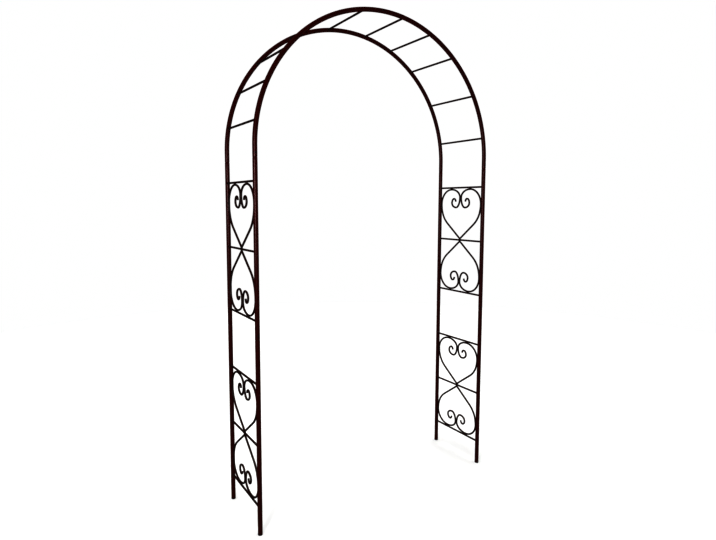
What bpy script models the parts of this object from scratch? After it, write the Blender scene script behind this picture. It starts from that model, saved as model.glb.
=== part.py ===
# Garden arch for climbing plants: two round steel arches stand side by side, joined by
# straight cross rods, with heart scrolls in the panels between the legs.
# All sizes are in metres. X runs across the walk-through width, Y runs through the arch
# from its front (low Y) to its rear, and the ground is z = 0.

import math

import bmesh
import bpy
from mathutils import Matrix, Vector

# Overall sizes, between centre lines of the tubes
SPAN = 1.380
DEPTH = 0.374
SPRING_HEIGHT = 1.800  # the straight legs turn into the half circle here

# Tubes and their push-in joints
TUBE_DIAMETER = 0.022
TUBE_WALL = 0.0012
LEG_JOINT_HEIGHT = 0.930  # mouth of the upper leg, where it sits over the lower leg
ARCH_JOINT_DROP = 0.050  # the arch tube reaches this far below the spring line
SPIGOT_LENGTH = 0.040
SWAGE_TAPER = 0.003
SPIGOT_CLEARANCE = 0.0003  # all round, between a reduced end and the tube it sits in
TOUCH_GAP = 0.0003  # between pieces that touch or are welded

# Cross rods: the rails of the leg panels and the rungs of the arch
CROSS_ROD_DIAMETER = 0.010
LOWEST_RAIL_HEIGHT = 0.132
LOWER_HALF_PANEL = 0.293  # from one rail of a lower panel to the next
UPPER_HALF_PANEL = 0.316
UPPER_PANEL_ABOVE_JOINT = 0.084  # from the mouth of the upper leg to its lowest rail
FIRST_RUNG_ANGLE = 10.0  # degrees round the arch from where a quarter of it starts
WIDE_RUNG_STEP = 20.0
NARROW_RUNG_STEP = 15.25

# Heart scrolls. A share is of the half width that a heart fills. A rise is a share of the
# half panel, up from the middle rail, and a drop is one down from the rail above the heart.
SCROLL_ROD_DIAMETER = 0.010
TIP_BEND_RADIUS = 0.010
LOBES_APART = 0.0006  # between the two halves of one rod where they pass each other
STRAIGHT_END_SHARE = 0.66
STRAIGHT_END_RISE = 0.304
WIDEST_DROP = 0.312
CREST_SHARE = 0.47
LOBES_MEET_DROP = 0.189
CURL_BOTTOM_SHARE = 0.228
CURL_BOTTOM_DROP = 0.378
CURL_OUTER_SHARE = 0.445
CURL_OUTER_DROP = 0.289
CURL_TOP_SHARE = 0.334
CURL_TOP_DROP = 0.210
CURL_END_SHARE = 0.250
CURL_END_DROP = 0.262

# Foot plugs
FOOT_HEIGHT = 0.006
FOOT_EDGE = 0.0015
PLUG_LENGTH = 0.014
PLUG_CLEARANCE = 0.0003

# Joint screws
SCREW_HEAD_DIAMETER = 0.008
SCREW_HEAD_HEIGHT = 0.0024
SCREW_HEAD_RIM = 0.0008
SCREW_SHANK_DIAMETER = 0.004
SCREW_LENGTH = 0.009
SCREW_TIP = 0.0015
SCREW_HOLE_DIAMETER = 0.0046
RECESS_LENGTH = 0.0046
RECESS_WIDTH = 0.0010
RECESS_DEPTH = 0.0012

# How finely round shapes are divided
TUBE_SIDES = 12
ROD_SIDES = 8
HOLE_SIDES = 12
SCREW_SIDES = 10
LARGEST_ARC_STEP = 5.1  # degrees
TIP_BEND_STEPS = 2
SIDE_BEND_STEPS = 3
SCROLL_STEPS = (5, 4, 4, 3, 3, 2)  # on the quarter ellipses from a heart's side to its curl's end
CUTTER_OVERRUN = 0.005
WELD_DISTANCE = 0.000001
SCREW_MERGE = 0.00001

# Sizes that follow from the ones above
HALF_SPAN = SPAN / 2
TUBE_RADIUS = TUBE_DIAMETER / 2
BORE_RADIUS = TUBE_RADIUS - TUBE_WALL
SPIGOT_RADIUS = BORE_RADIUS - SPIGOT_CLEARANCE
SPIGOT_BORE_RADIUS = SPIGOT_RADIUS - TUBE_WALL
ARCH_JOINT_HEIGHT = SPRING_HEIGHT - ARCH_JOINT_DROP
SPIGOT_ANGLE = math.degrees(SPIGOT_LENGTH / HALF_SPAN)
ROD_RADIUS = CROSS_ROD_DIAMETER / 2
SCROLL_RADIUS = SCROLL_ROD_DIAMETER / 2
SCROLL_TO_ROD = SCROLL_RADIUS + ROD_RADIUS + TOUCH_GAP
HEART_HALF_WIDTH = DEPTH / 2 - TUBE_RADIUS - TOUCH_GAP - SCROLL_RADIUS
RUNG_ANGLES = (
    FIRST_RUNG_ANGLE,
    FIRST_RUNG_ANGLE + WIDE_RUNG_STEP,
    FIRST_RUNG_ANGLE + 2 * WIDE_RUNG_STEP,
    FIRST_RUNG_ANGLE + 2 * WIDE_RUNG_STEP + NARROW_RUNG_STEP,
    FIRST_RUNG_ANGLE + 2 * WIDE_RUNG_STEP + 2 * NARROW_RUNG_STEP,
)
QUARTER = 90.0
SIDES = {"left": -1, "right": 1}
PLANES = {"front": -1, "rear": 1}


# An empty scene with one collection for the arch and one for the cutters
for old in list(bpy.data.objects):
    bpy.data.objects.remove(old)
arch = bpy.data.collections.new("garden_arch")
cutters = bpy.data.collections.new("cutters")
bpy.context.scene.collection.children.link(arch)
bpy.context.scene.collection.children.link(cutters)
cutters.hide_render = True


def make_material(name, colour, roughness, metallic):
    material = bpy.data.materials.new(name)
    material.use_nodes = True
    surface = material.node_tree.nodes["Principled BSDF"]
    surface.inputs["Base Color"].default_value = (*colour, 1.0)
    surface.inputs["Roughness"].default_value = roughness
    surface.inputs["Metallic"].default_value = metallic
    return material


COATED_TUBE = ("coated_tube", (0.022, 0.011, 0.011), 0.42, 0.0)
COATED_ROD = ("coated_rod", (0.014, 0.011, 0.011), 0.45, 0.0)
BLACK_SCREW = ("black_screw", (0.02, 0.02, 0.02), 0.35, 1.0)
FOOT_PLASTIC = ("foot_plastic", (0.012, 0.012, 0.012), 0.6, 0.0)


def place(name, mesh, finish, location=(0, 0, 0), rotation=(0, 0, 0)):
    """One piece of the arch, as an object of its own that may share its mesh."""
    piece = bpy.data.objects.new(name, mesh)
    piece.location = location
    piece.rotation_euler = rotation
    arch.objects.link(piece)
    piece.material_slots[0].link = "OBJECT"
    label, colour, roughness, metallic = finish
    piece.material_slots[0].material = make_material(f"{label}_{name}", colour, roughness, metallic)
    return piece


def shape_of(holder):
    """The finished mesh of a helper object, which is then removed."""
    bpy.context.view_layer.update()
    graph = bpy.context.evaluated_depsgraph_get()
    mesh = bpy.data.meshes.new_from_object(holder.evaluated_get(graph))
    mesh.transform(holder.matrix_world)
    bpy.data.objects.remove(holder)
    return mesh


def closed_and_smooth(mesh):
    """Joins the doubled points of end caps, turns all faces outwards and shades the sides smooth."""
    shape = bmesh.new()
    shape.from_mesh(mesh)
    bmesh.ops.remove_doubles(shape, verts=shape.verts, dist=WELD_DISTANCE)
    bmesh.ops.recalc_face_normals(shape, faces=shape.faces)
    for face in shape.faces:
        face.smooth = len(face.verts) == 4
    shape.to_mesh(mesh)
    shape.free()
    if not mesh.materials:
        mesh.materials.append(None)
    return mesh


def swept_mesh(name, points, radii, sides):
    """A round bar along a line of points, with its own radius at each of them."""
    curve = bpy.data.curves.new(name, "CURVE")
    curve.dimensions = "3D"
    curve.bevel_depth = radii[0]
    curve.bevel_resolution = sides // 2 - 2
    curve.use_fill_caps = True
    line = curve.splines.new("POLY")
    line.points.add(len(points) - 1)
    for knot, point, radius in zip(line.points, points, radii):
        knot.co = (*point, 1.0)
        knot.radius = radius / radii[0]
    holder = bpy.data.objects.new(name, curve)
    bpy.context.scene.collection.objects.link(holder)
    return closed_and_smooth(shape_of(holder))


def turned_mesh(name, profile, steps):
    """A solid of revolution about Z. The profile runs from the top of the axis down to its foot."""
    outline = bpy.data.meshes.new(name)
    points = [(radius, 0, height) for radius, height in profile]
    edges = [(i, i + 1) for i in range(len(points) - 1)]
    outline.from_pydata(points, edges, [])
    holder = bpy.data.objects.new(name, outline)
    bpy.context.scene.collection.objects.link(holder)
    turn = holder.modifiers.new("turn", "SCREW")
    turn.axis = "Z"
    turn.steps = steps
    turn.render_steps = steps
    turn.use_merge_vertices = True
    turn.merge_threshold = SCREW_MERGE
    return closed_and_smooth(shape_of(holder))


def cylinder_mesh(name, radius, length, sides):
    """A cylinder along Z about the origin."""
    shape = bmesh.new()
    bmesh.ops.create_cone(
        shape, cap_ends=True, segments=sides, radius1=radius, radius2=radius, depth=length
    )
    mesh = bpy.data.meshes.new(name)
    shape.to_mesh(mesh)
    shape.free()
    return closed_and_smooth(mesh)


def box_mesh(name, size):
    shape = bmesh.new()
    bmesh.ops.create_cube(shape, size=1.0, matrix=Matrix.Diagonal((*size, 1.0)))
    mesh = bpy.data.meshes.new(name)
    shape.to_mesh(mesh)
    shape.free()
    return mesh


def cut(piece, mesh, location=(0, 0, 0), turn=0.0):
    """Takes a cutter's shape out of a piece. The cutter is placed from the piece and turned about X."""
    cutter = bpy.data.objects.new(f"cutter_{piece.name}", mesh)
    cutter.location = piece.location + Vector(location)
    cutter.rotation_euler = (turn, 0, 0)
    cutter.display_type = "WIRE"
    cutter.hide_render = True
    cutters.objects.link(cutter)
    modifier = piece.modifiers.new("cut", "BOOLEAN")
    modifier.operation = "DIFFERENCE"
    modifier.solver = "EXACT"
    modifier.object = cutter
    return cutter


# Tubes. Each is a swept bar with a swept bore taken out, open at both ends.

hole_mesh = cylinder_mesh("screw_hole", SCREW_HOLE_DIAMETER / 2, TUBE_DIAMETER, HOLE_SIDES)
# Turned by half a side, so that no corner of the hole falls on an edge of the tube
hole_mesh.transform(Matrix.Rotation(math.pi / HOLE_SIDES, 4, "Z"))


def place_tube(name, points, swaged, location):
    """A tube along the points. When swaged, its last stretch is the reduced spigot."""
    points = [Vector(point) for point in points]
    outer = [TUBE_RADIUS] * len(points)
    bore = [BORE_RADIUS] * len(points)
    if swaged:
        outer[-2:] = [SPIGOT_RADIUS] * 2
        bore[-2:] = [SPIGOT_BORE_RADIUS] * 2
    start = points[0] + (points[0] - points[1]).normalized() * CUTTER_OVERRUN
    end = points[-1] + (points[-1] - points[-2]).normalized() * CUTTER_OVERRUN
    tube = place(name, swept_mesh(name, points, outer, TUBE_SIDES), COATED_TUBE, location)
    bore_points = [start, *points[1:-1], end]
    cut(tube, swept_mesh(f"bore_{name}", bore_points, bore, TUBE_SIDES))
    return tube


def drill(tube, spot, plane):
    """A screw hole through the wall that faces out of the arch, at a spot on the tube's centre line."""
    across = plane * TUBE_DIAMETER / 2
    cut(tube, hole_mesh, (spot[0], spot[1] + across, spot[2]), math.radians(90))


def on_arch(angle):
    """A point of the arch's centre line. The angle starts at the right spring line, in degrees."""
    turn = math.radians(angle)
    return Vector((HALF_SPAN * math.cos(turn), 0, SPRING_HEIGHT + HALF_SPAN * math.sin(turn)))


def divided(angles):
    """The angles with evenly spaced ones added, so that no step is large."""
    found = [angles[0]]
    for low, high in zip(angles, angles[1:]):
        steps = math.ceil((high - low) / LARGEST_ARC_STEP)
        found += [low + (high - low) * (i + 1) / steps for i in range(steps)]
    return found


def swaged_straight(bottom, joint):
    """Points up a straight tube whose top end is reduced to fit the tube above it."""
    heights = (
        bottom,
        joint - TOUCH_GAP - SWAGE_TAPER,
        joint - TOUCH_GAP,
        joint + SPIGOT_LENGTH,
    )
    return [(0, 0, height) for height in heights]


leg_screw_height = LEG_JOINT_HEIGHT + SPIGOT_LENGTH / 2
arch_screw_height = ARCH_JOINT_HEIGHT + SPIGOT_LENGTH / 2
apex_screw_spot = (on_arch(QUARTER) + on_arch(QUARTER + SPIGOT_ANGLE)) / 2
gap_angle = math.degrees(TOUCH_GAP / HALF_SPAN)
taper_angle = math.degrees((TOUCH_GAP + SWAGE_TAPER) / HALF_SPAN)

foot_of_arch = Vector((HALF_SPAN, 0, ARCH_JOINT_HEIGHT))
right_quarter = [foot_of_arch]
right_quarter += [on_arch(angle) for angle in divided((0.0, *RUNG_ANGLES, QUARTER - taper_angle))]
right_quarter += [on_arch(QUARTER - gap_angle), on_arch(QUARTER + SPIGOT_ANGLE)]
left_rungs = [QUARTER - angle for angle in reversed(RUNG_ANGLES)]
left_quarter = [foot_of_arch]
left_quarter += [on_arch(angle) for angle in divided((0.0, *left_rungs, QUARTER - SPIGOT_ANGLE))]
left_quarter += [on_arch(QUARTER)]
left_quarter = [Vector((-point.x, point.y, point.z)) for point in left_quarter]

for plane_name, plane in PLANES.items():
    y = plane * DEPTH / 2
    for side_name, side in SIDES.items():
        x = side * HALF_SPAN
        where = f"{plane_name}_{side_name}"
        lower = swaged_straight(FOOT_HEIGHT + TOUCH_GAP, LEG_JOINT_HEIGHT)
        lower_leg = place_tube(f"lower_leg_{where}", lower, True, (x, y, 0))
        drill(lower_leg, (0, 0, leg_screw_height), plane)
        upper = swaged_straight(LEG_JOINT_HEIGHT, ARCH_JOINT_HEIGHT)
        upper_leg = place_tube(f"upper_leg_{where}", upper, True, (x, y, 0))
        drill(upper_leg, (0, 0, leg_screw_height), plane)
        drill(upper_leg, (0, 0, arch_screw_height), plane)
        quarter = right_quarter if side > 0 else left_quarter
        arch_tube = place_tube(f"arch_{where}", quarter, side > 0, (0, y, 0))
        drill(arch_tube, (x, 0, arch_screw_height), plane)
        drill(arch_tube, apex_screw_spot, plane)


# Cross rods, all alike: straight, with both ends hollowed to sit against a tube

def coped_rod_mesh():
    mesh = cylinder_mesh("cross_rod", ROD_RADIUS, DEPTH, ROD_SIDES)
    mesh.transform(Matrix.Rotation(math.radians(90), 4, "X"))
    holder = bpy.data.objects.new("cross_rod", mesh)
    bpy.context.scene.collection.objects.link(holder)
    hollow = cylinder_mesh("cope", TUBE_RADIUS + TOUCH_GAP, TUBE_DIAMETER, TUBE_SIDES)
    helpers = [cut(holder, hollow, (0, plane * DEPTH / 2, 0)) for plane in PLANES.values()]
    finished = shape_of(holder)
    for helper in helpers:
        bpy.data.objects.remove(helper)
    return finished


cross_rod = coped_rod_mesh()

lower_panel_rails = {
    "bottom": LOWEST_RAIL_HEIGHT,
    "middle": LOWEST_RAIL_HEIGHT + LOWER_HALF_PANEL,
    "top": LOWEST_RAIL_HEIGHT + 2 * LOWER_HALF_PANEL,
}
upper_panel_bottom = LEG_JOINT_HEIGHT + UPPER_PANEL_ABOVE_JOINT
upper_panel_rails = {
    "bottom": upper_panel_bottom,
    "middle": upper_panel_bottom + UPPER_HALF_PANEL,
    "top": upper_panel_bottom + 2 * UPPER_HALF_PANEL,
}
PANELS = {
    "lower": (lower_panel_rails, LOWER_HALF_PANEL),
    "upper": (upper_panel_rails, UPPER_HALF_PANEL),
}

for panel_name, (rails, _) in PANELS.items():
    for side_name, side in SIDES.items():
        for rail_name, height in rails.items():
            name = f"rail_{panel_name}_{side_name}_{rail_name}"
            place(name, cross_rod, COATED_ROD, (side * HALF_SPAN, 0, height))

# The rungs of the left quarter repeat those of the right one, a quarter turn further on.
for side_name, start in (("right", 0.0), ("left", QUARTER)):
    for number, angle in enumerate(RUNG_ANGLES, 1):
        turn = math.radians(start + angle)
        name = f"rung_{side_name}_{number}"
        place(name, cross_rod, COATED_ROD, on_arch(start + angle), (0, -turn, 0))


# Heart scrolls: one rod each, bent to a point and curled in at both ends

def ellipse_quarter(start, end, leaves_upright, steps):
    """Points after the start of a quarter ellipse, whose end directions are upright and level."""
    found = []
    for i in range(1, steps + 1):
        turn = math.radians(QUARTER) * i / steps
        if leaves_upright:
            share_y, share_z = 1 - math.cos(turn), math.sin(turn)
        else:
            share_y, share_z = math.sin(turn), 1 - math.cos(turn)
        y = start[0] + (end[0] - start[0]) * share_y
        z = start[1] + (end[1] - start[1]) * share_z
        found.append((y, z))
    return found


def heart_mesh(name, half_panel):
    """A heart that stands on the middle rail, whose centre is the origin, and touches the rail above."""
    bend = TIP_BEND_RADIUS
    straight_end = (STRAIGHT_END_SHARE * HEART_HALF_WIDTH, STRAIGHT_END_RISE * half_panel)
    rise = straight_end[1] - SCROLL_TO_ROD - bend
    reach = math.hypot(straight_end[0], rise)
    slope = math.atan2(rise, straight_end[0]) + math.asin(bend / reach)
    half = []
    for i in range(TIP_BEND_STEPS + 1):
        turn = slope * i / TIP_BEND_STEPS
        half.append((bend * math.sin(turn), SCROLL_TO_ROD + bend - bend * math.cos(turn)))
    half.append(straight_end)

    # The side bends from the straight to upright where the heart is widest.
    knee = (HEART_HALF_WIDTH, straight_end[1] + (HEART_HALF_WIDTH - straight_end[0]) * math.tan(slope))
    widest = (HEART_HALF_WIDTH, half_panel * (1 - WIDEST_DROP))
    for i in range(1, SIDE_BEND_STEPS + 1):
        t = i / SIDE_BEND_STEPS
        first, second, third = (1 - t) ** 2, 2 * t * (1 - t), t ** 2
        y = first * straight_end[0] + second * knee[0] + third * widest[0]
        z = first * straight_end[1] + second * knee[1] + third * widest[1]
        half.append((y, z))

    crest = (CREST_SHARE * HEART_HALF_WIDTH, half_panel - SCROLL_TO_ROD)
    meeting = (SCROLL_RADIUS + LOBES_APART / 2, half_panel * (1 - LOBES_MEET_DROP))
    curl_bottom = (CURL_BOTTOM_SHARE * HEART_HALF_WIDTH, half_panel * (1 - CURL_BOTTOM_DROP))
    curl_outer = (CURL_OUTER_SHARE * HEART_HALF_WIDTH, half_panel * (1 - CURL_OUTER_DROP))
    curl_top = (CURL_TOP_SHARE * HEART_HALF_WIDTH, half_panel * (1 - CURL_TOP_DROP))
    curl_end = (CURL_END_SHARE * HEART_HALF_WIDTH, half_panel * (1 - CURL_END_DROP))
    corners = (crest, meeting, curl_bottom, curl_outer, curl_top, curl_end)
    leaves_upright = True
    for corner, steps in zip(corners, SCROLL_STEPS):
        half += ellipse_quarter(half[-1], corner, leaves_upright, steps)
        leaves_upright = not leaves_upright
    mirrored = [(-y, z) for y, z in reversed(half[1:])]
    points = [(0, y, z) for y, z in mirrored + half]
    return swept_mesh(name, points, [SCROLL_RADIUS] * len(points), ROD_SIDES)


UPSIDE_DOWN = (math.radians(180), 0, 0)
for panel_name, (rails, half_panel) in PANELS.items():
    heart = heart_mesh(f"heart_{panel_name}", half_panel)
    for side_name, side in SIDES.items():
        centre = (side * HALF_SPAN, 0, rails["middle"])
        place(f"heart_{panel_name}_{side_name}_top", heart, COATED_ROD, centre)
        place(f"heart_{panel_name}_{side_name}_bottom", heart, COATED_ROD, centre, UPSIDE_DOWN)


# Foot plugs, pushed into the open ends of the legs
plug_radius = BORE_RADIUS - PLUG_CLEARANCE
foot_profile = (
    (0, FOOT_HEIGHT + PLUG_LENGTH),
    (plug_radius - FOOT_EDGE, FOOT_HEIGHT + PLUG_LENGTH),
    (plug_radius, FOOT_HEIGHT + PLUG_LENGTH - FOOT_EDGE),
    (plug_radius, FOOT_HEIGHT),
    (TUBE_RADIUS, FOOT_HEIGHT),
    (TUBE_RADIUS, FOOT_EDGE),
    (TUBE_RADIUS - FOOT_EDGE, 0),
    (0, 0),
)
foot = turned_mesh("foot_plug", foot_profile, TUBE_SIDES)


# Joint screws, each through the outer tube's wall and the spigot inside it

def screw_mesh():
    """A pan head screw along Z, head up, with the underside of its head at the origin."""
    head = SCREW_HEAD_DIAMETER / 2
    shank = SCREW_SHANK_DIAMETER / 2
    profile = (
        (0, SCREW_HEAD_HEIGHT),
        (head / 2, SCREW_HEAD_HEIGHT),
        (head, SCREW_HEAD_RIM),
        (head, 0),
        (shank, 0),
        (shank, SCREW_TIP - SCREW_LENGTH),
        (shank / 2, -SCREW_LENGTH),
        (0, -SCREW_LENGTH),
    )
    holder = bpy.data.objects.new("joint_screw", turned_mesh("joint_screw", profile, SCREW_SIDES))
    bpy.context.scene.collection.objects.link(holder)
    bar_height = 2 * RECESS_DEPTH
    bars = (
        box_mesh("recess_bar", (RECESS_LENGTH, RECESS_WIDTH, bar_height)),
        box_mesh("recess_crossbar", (RECESS_WIDTH, RECESS_LENGTH, bar_height)),
    )
    helpers = [cut(holder, bar, (0, 0, SCREW_HEAD_HEIGHT)) for bar in bars]
    finished = shape_of(holder)
    for helper in helpers:
        bpy.data.objects.remove(helper)
    return finished


joint_screw = screw_mesh()

for plane_name, plane in PLANES.items():
    y = plane * DEPTH / 2
    head_y = y + plane * (TUBE_RADIUS + TOUCH_GAP)
    facing_out = (math.radians(-90 * plane), 0, 0)
    place(
        f"screw_apex_{plane_name}", joint_screw, BLACK_SCREW,
        (apex_screw_spot.x, head_y, apex_screw_spot.z), facing_out,
    )
    for side_name, side in SIDES.items():
        x = side * HALF_SPAN
        where = f"{plane_name}_{side_name}"
        place(f"foot_plug_{where}", foot, FOOT_PLASTIC, (x, y, 0))
        place(f"screw_leg_{where}", joint_screw, BLACK_SCREW, (x, head_y, leg_screw_height), facing_out)
        place(f"screw_arch_{where}", joint_screw, BLACK_SCREW, (x, head_y, arch_screw_height), facing_out)
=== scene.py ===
# %% [markdown]
# # A garden arch, dressed for its picture
#
# This notebook takes the plain solid model of a steel garden arch and gives it the shapes
# and finishes that the eye looks for: round tubes with rolled mouths, rods welded on with
# small beads, forged-looking heart scrolls, and a dark powder coat over all of it. The solid
# model is the frame. It fixes every size and place, and nothing here moves away from it.

import math
import random

import bmesh
import bpy
from mathutils import Matrix, Vector


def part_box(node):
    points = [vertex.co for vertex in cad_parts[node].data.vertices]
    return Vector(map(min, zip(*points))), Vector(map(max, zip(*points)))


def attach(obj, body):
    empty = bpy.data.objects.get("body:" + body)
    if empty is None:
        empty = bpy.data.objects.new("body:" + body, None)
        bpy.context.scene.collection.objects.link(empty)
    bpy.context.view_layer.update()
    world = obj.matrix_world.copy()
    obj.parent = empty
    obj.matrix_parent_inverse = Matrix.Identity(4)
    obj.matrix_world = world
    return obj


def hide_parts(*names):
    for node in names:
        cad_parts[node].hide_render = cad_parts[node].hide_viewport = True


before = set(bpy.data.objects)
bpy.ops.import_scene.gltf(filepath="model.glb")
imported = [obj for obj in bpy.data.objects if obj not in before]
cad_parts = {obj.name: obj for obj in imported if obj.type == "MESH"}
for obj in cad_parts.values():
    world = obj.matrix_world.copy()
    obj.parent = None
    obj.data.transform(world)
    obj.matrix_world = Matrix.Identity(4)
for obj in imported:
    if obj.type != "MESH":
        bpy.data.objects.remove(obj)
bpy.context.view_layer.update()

# %% [markdown]
# ## The camera
#
# The picture was taken from a little above the middle of the arch, to the left of its front,
# with a lens as wide as a 27 mm one. A camera is easiest to keep honest when its place and
# its three turns are written down as numbers, so it isn't aimed at any object. The small
# shift allows for a picture that was cropped a little off centre.

# %% The camera
IMAGE_WIDTH = 716  # pixels
IMAGE_HEIGHT = 540
SENSOR_WIDTH = 36.0  # millimetres
FOCAL_PIXELS = 544.94  # the focal length, counted in the picture's pixels
OPTICAL_CENTRE_Y = 255.63  # the row of pixels that the lens's axis goes through
CAMERA_SPOT = Vector((-1.5846, -2.4838, 1.5428))
CAMERA_YAW = math.radians(31.897)
CAMERA_PITCH = math.radians(5.359)
CAMERA_ROLL = math.radians(0.178)


def put_in_scene(name, data):
    """A new object in the scene, for this mesh, light or camera."""
    made = bpy.data.objects.new(name, data)
    bpy.context.scene.collection.objects.link(made)
    return made


camera_data = bpy.data.cameras.new("picture_camera")
camera_data.sensor_width = SENSOR_WIDTH
camera_data.lens = FOCAL_PIXELS * SENSOR_WIDTH / IMAGE_WIDTH
camera_data.shift_y = (OPTICAL_CENTRE_Y - IMAGE_HEIGHT / 2) / IMAGE_WIDTH
camera = put_in_scene("picture_camera", camera_data)
turn_to_side = Matrix.Rotation(-CAMERA_YAW, 4, "Z")
tip_down = Matrix.Rotation(math.radians(90) - CAMERA_PITCH, 4, "X")
level = Matrix.Rotation(CAMERA_ROLL, 4, "Z")
camera.matrix_world = Matrix.Translation(CAMERA_SPOT) @ turn_to_side @ tip_down @ level
bpy.context.scene.camera = camera
print("Lens", round(camera_data.lens, 2), "mm, shift", round(camera_data.shift_y, 4))

# %% [markdown]
# ## Helpers for finishes
#
# Every finish below is a small network of nodes. Designers write a colour as a hex value,
# which is spaced to suit the eye, so the first helper turns it into the linear light that a
# renderer counts in. The second adds a node, gives it its settings and fills its inputs,
# either with a value or with another node's output. The third starts a finish with the
# coordinates that all its patterns are drawn in. They are in metres, so a pattern's scale is
# one divided by its real size.

# %% Colours
def linear(hex_colour):
    """The linear red, green, blue and alpha of an sRGB colour written as #rrggbb."""
    found = []
    for start in (1, 3, 5):
        share = int(hex_colour[start:start + 2], 16) / 255
        found.append(share / 12.92 if share <= 0.04045 else ((share + 0.055) / 1.055) ** 2.4)
    return (*found, 1.0)


print("The middle grey #808080 is", round(linear("#808080")[0], 3), "of full light")

# %% Nodes
def add_node(tree, kind, inputs=None, **settings):
    """A new node with its settings made and its inputs filled, by value or by a link."""
    made = tree.nodes.new(kind)
    for setting, value in settings.items():
        setattr(made, setting, value)
    for socket, value in (inputs or {}).items():
        if isinstance(value, bpy.types.NodeSocket):
            tree.links.new(value, made.inputs[socket])
        else:
            made.inputs[socket].default_value = value
    return made


def new_finish(name):
    """An empty material, its node tree and the coordinates in metres that its patterns use."""
    finish = bpy.data.materials.new(name)
    finish.use_nodes = True
    tree = finish.node_tree
    tree.nodes.clear()
    metres = add_node(tree, "ShaderNodeTexCoord").outputs["Object"]
    return finish, tree, metres


print("Made the helpers add_node and new_finish")

# %% [markdown]
# ## Powder-coated steel
#
# The tubes and rods are mild steel under a baked polyester powder coat. The dry powder is
# sprayed on and melts in an oven, so it flows a little and keeps a fine skin like orange
# peel. That skin is what breaks up the highlights: without it a tube looks like plastic
# pipe. The coat is a plain dielectric, so it isn't metallic and its IOR is 1.5. A powder
# between gloss and satin has a roughness of 0.3 to 0.45. Where the coat is thicker its
# colour is a little deeper, which a slow noise along the metal brings out.

# %% Powder coat
COAT_IOR = 1.5
COAT_DRIFT = 0.045  # the coat's thickness drifts over a few centimetres
ORANGE_PEEL = 0.0025  # real ripples are about 1 mm apart and too fine to show, so drawn coarser
POWDER_GRAIN = 0.0009  # real grains melt to under a tenth of this, so they too are drawn coarser
THIN_COAT_SHINE = 0.04  # how much less rough the coat is where it is thin
THICK_COAT_DULLING = 0.05


def powder_coat(name, thin_coat, thick_coat, roughness, reflection):
    """A baked polyester powder coat over steel, between two near colours."""
    finish, tree, metres = new_finish(name)
    drift = add_node(tree, "ShaderNodeTexNoise", {
        "Vector": metres, "Scale": 1 / COAT_DRIFT, "Detail": 3.0, "Roughness": 0.55,
    })
    colour = add_node(tree, "ShaderNodeMix", {
        "Factor": drift.outputs["Fac"], "A": linear(thin_coat), "B": linear(thick_coat),
    }, data_type="RGBA")
    dullness = add_node(tree, "ShaderNodeMapRange", {
        "Value": drift.outputs["Fac"], "From Min": 0.3, "From Max": 0.7,
        "To Min": roughness - THIN_COAT_SHINE, "To Max": roughness + THICK_COAT_DULLING,
    })
    grain = add_node(tree, "ShaderNodeTexNoise", {
        "Vector": metres, "Scale": 1 / POWDER_GRAIN, "Detail": 2.0, "Roughness": 0.6,
    })
    fine_skin = add_node(tree, "ShaderNodeBump", {
        "Height": grain.outputs["Fac"], "Strength": 0.15, "Distance": 0.0001,
    })
    peel = add_node(tree, "ShaderNodeTexNoise", {
        "Vector": metres, "Scale": 1 / ORANGE_PEEL, "Detail": 1.0, "Roughness": 0.4,
    })
    skin = add_node(tree, "ShaderNodeBump", {
        "Height": peel.outputs["Fac"], "Strength": 0.35, "Distance": 0.0002,
        "Normal": fine_skin.outputs["Normal"],
    })
    surface = add_node(tree, "ShaderNodeBsdfPrincipled", {
        "Base Color": colour.outputs["Result"], "Roughness": dullness.outputs["Result"],
        "Normal": skin.outputs["Normal"], "IOR": COAT_IOR, "Specular Tint": linear(reflection),
    })
    add_node(tree, "ShaderNodeOutputMaterial", {"Surface": surface.outputs["BSDF"]})
    return finish


print("The coat's skin has", round(1 / ORANGE_PEEL), "ripples to the metre")

# %% [markdown]
# ### Two shades of it
#
# In the picture the tubes are a red brown so deep that it is nearly black, with a soft
# streak of light down the nearest one, and the rods are blacker and duller. The streak isn't
# white but a warm brown, as it is where a brown powder holds flakes of mica, so the
# reflections of the tubes have a faint red tint and those of the rods have none.

# %% Coats of the tubes and the rods
tube_coat = powder_coat("powder_coated_steel_tube", "#460704", "#360502", 0.30, "#ffdada")
rod_coat = powder_coat("powder_coated_steel_rod", "#30130f", "#240e0b", 0.42, "#ffffff")
print("Coats", tube_coat.name, "and", rod_coat.name)

# %% [markdown]
# ## Blackened steel
#
# The joint screws are steel with a black zinc plating. The plating is a conversion layer a
# few thousandths of a millimetre thick, so the metal still shines through: the finish is
# metallic, very dark, and a little rough from the acid bath. A metal's own colour says how
# it reflects, so its IOR stays at the default.

# %% Blackened steel
PLATING_SPECKLE = 0.0006  # real specks are finer than a hair, so drawn coarser

black_zinc, tree, metres = new_finish("black_zinc_plated_steel")
speckle = add_node(tree, "ShaderNodeTexNoise", {
    "Vector": metres, "Scale": 1 / PLATING_SPECKLE, "Detail": 3.0,
})
shade = add_node(tree, "ShaderNodeMix", {
    "Factor": speckle.outputs["Fac"], "A": linear("#4a4a50"), "B": linear("#64646c"),
}, data_type="RGBA")
dullness = add_node(tree, "ShaderNodeMapRange", {
    "Value": speckle.outputs["Fac"], "To Min": 0.32, "To Max": 0.5,
})
surface = add_node(tree, "ShaderNodeBsdfPrincipled", {
    "Base Color": shade.outputs["Result"], "Roughness": dullness.outputs["Result"], "Metallic": 1.0,
})
add_node(tree, "ShaderNodeOutputMaterial", {"Surface": surface.outputs["BSDF"]})
print("Finish", black_zinc.name, "with", len(tree.nodes), "nodes")

# %% [markdown]
# ## Moulded plastic
#
# The foot plugs are black polyethylene from a mould whose inside was spark-eroded, which
# leaves a dull, pebbled skin. Cells of a Voronoi pattern look like such pebbles, and a bump
# gives them a little height. Polyethylene's IOR is about 1.51.

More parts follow.
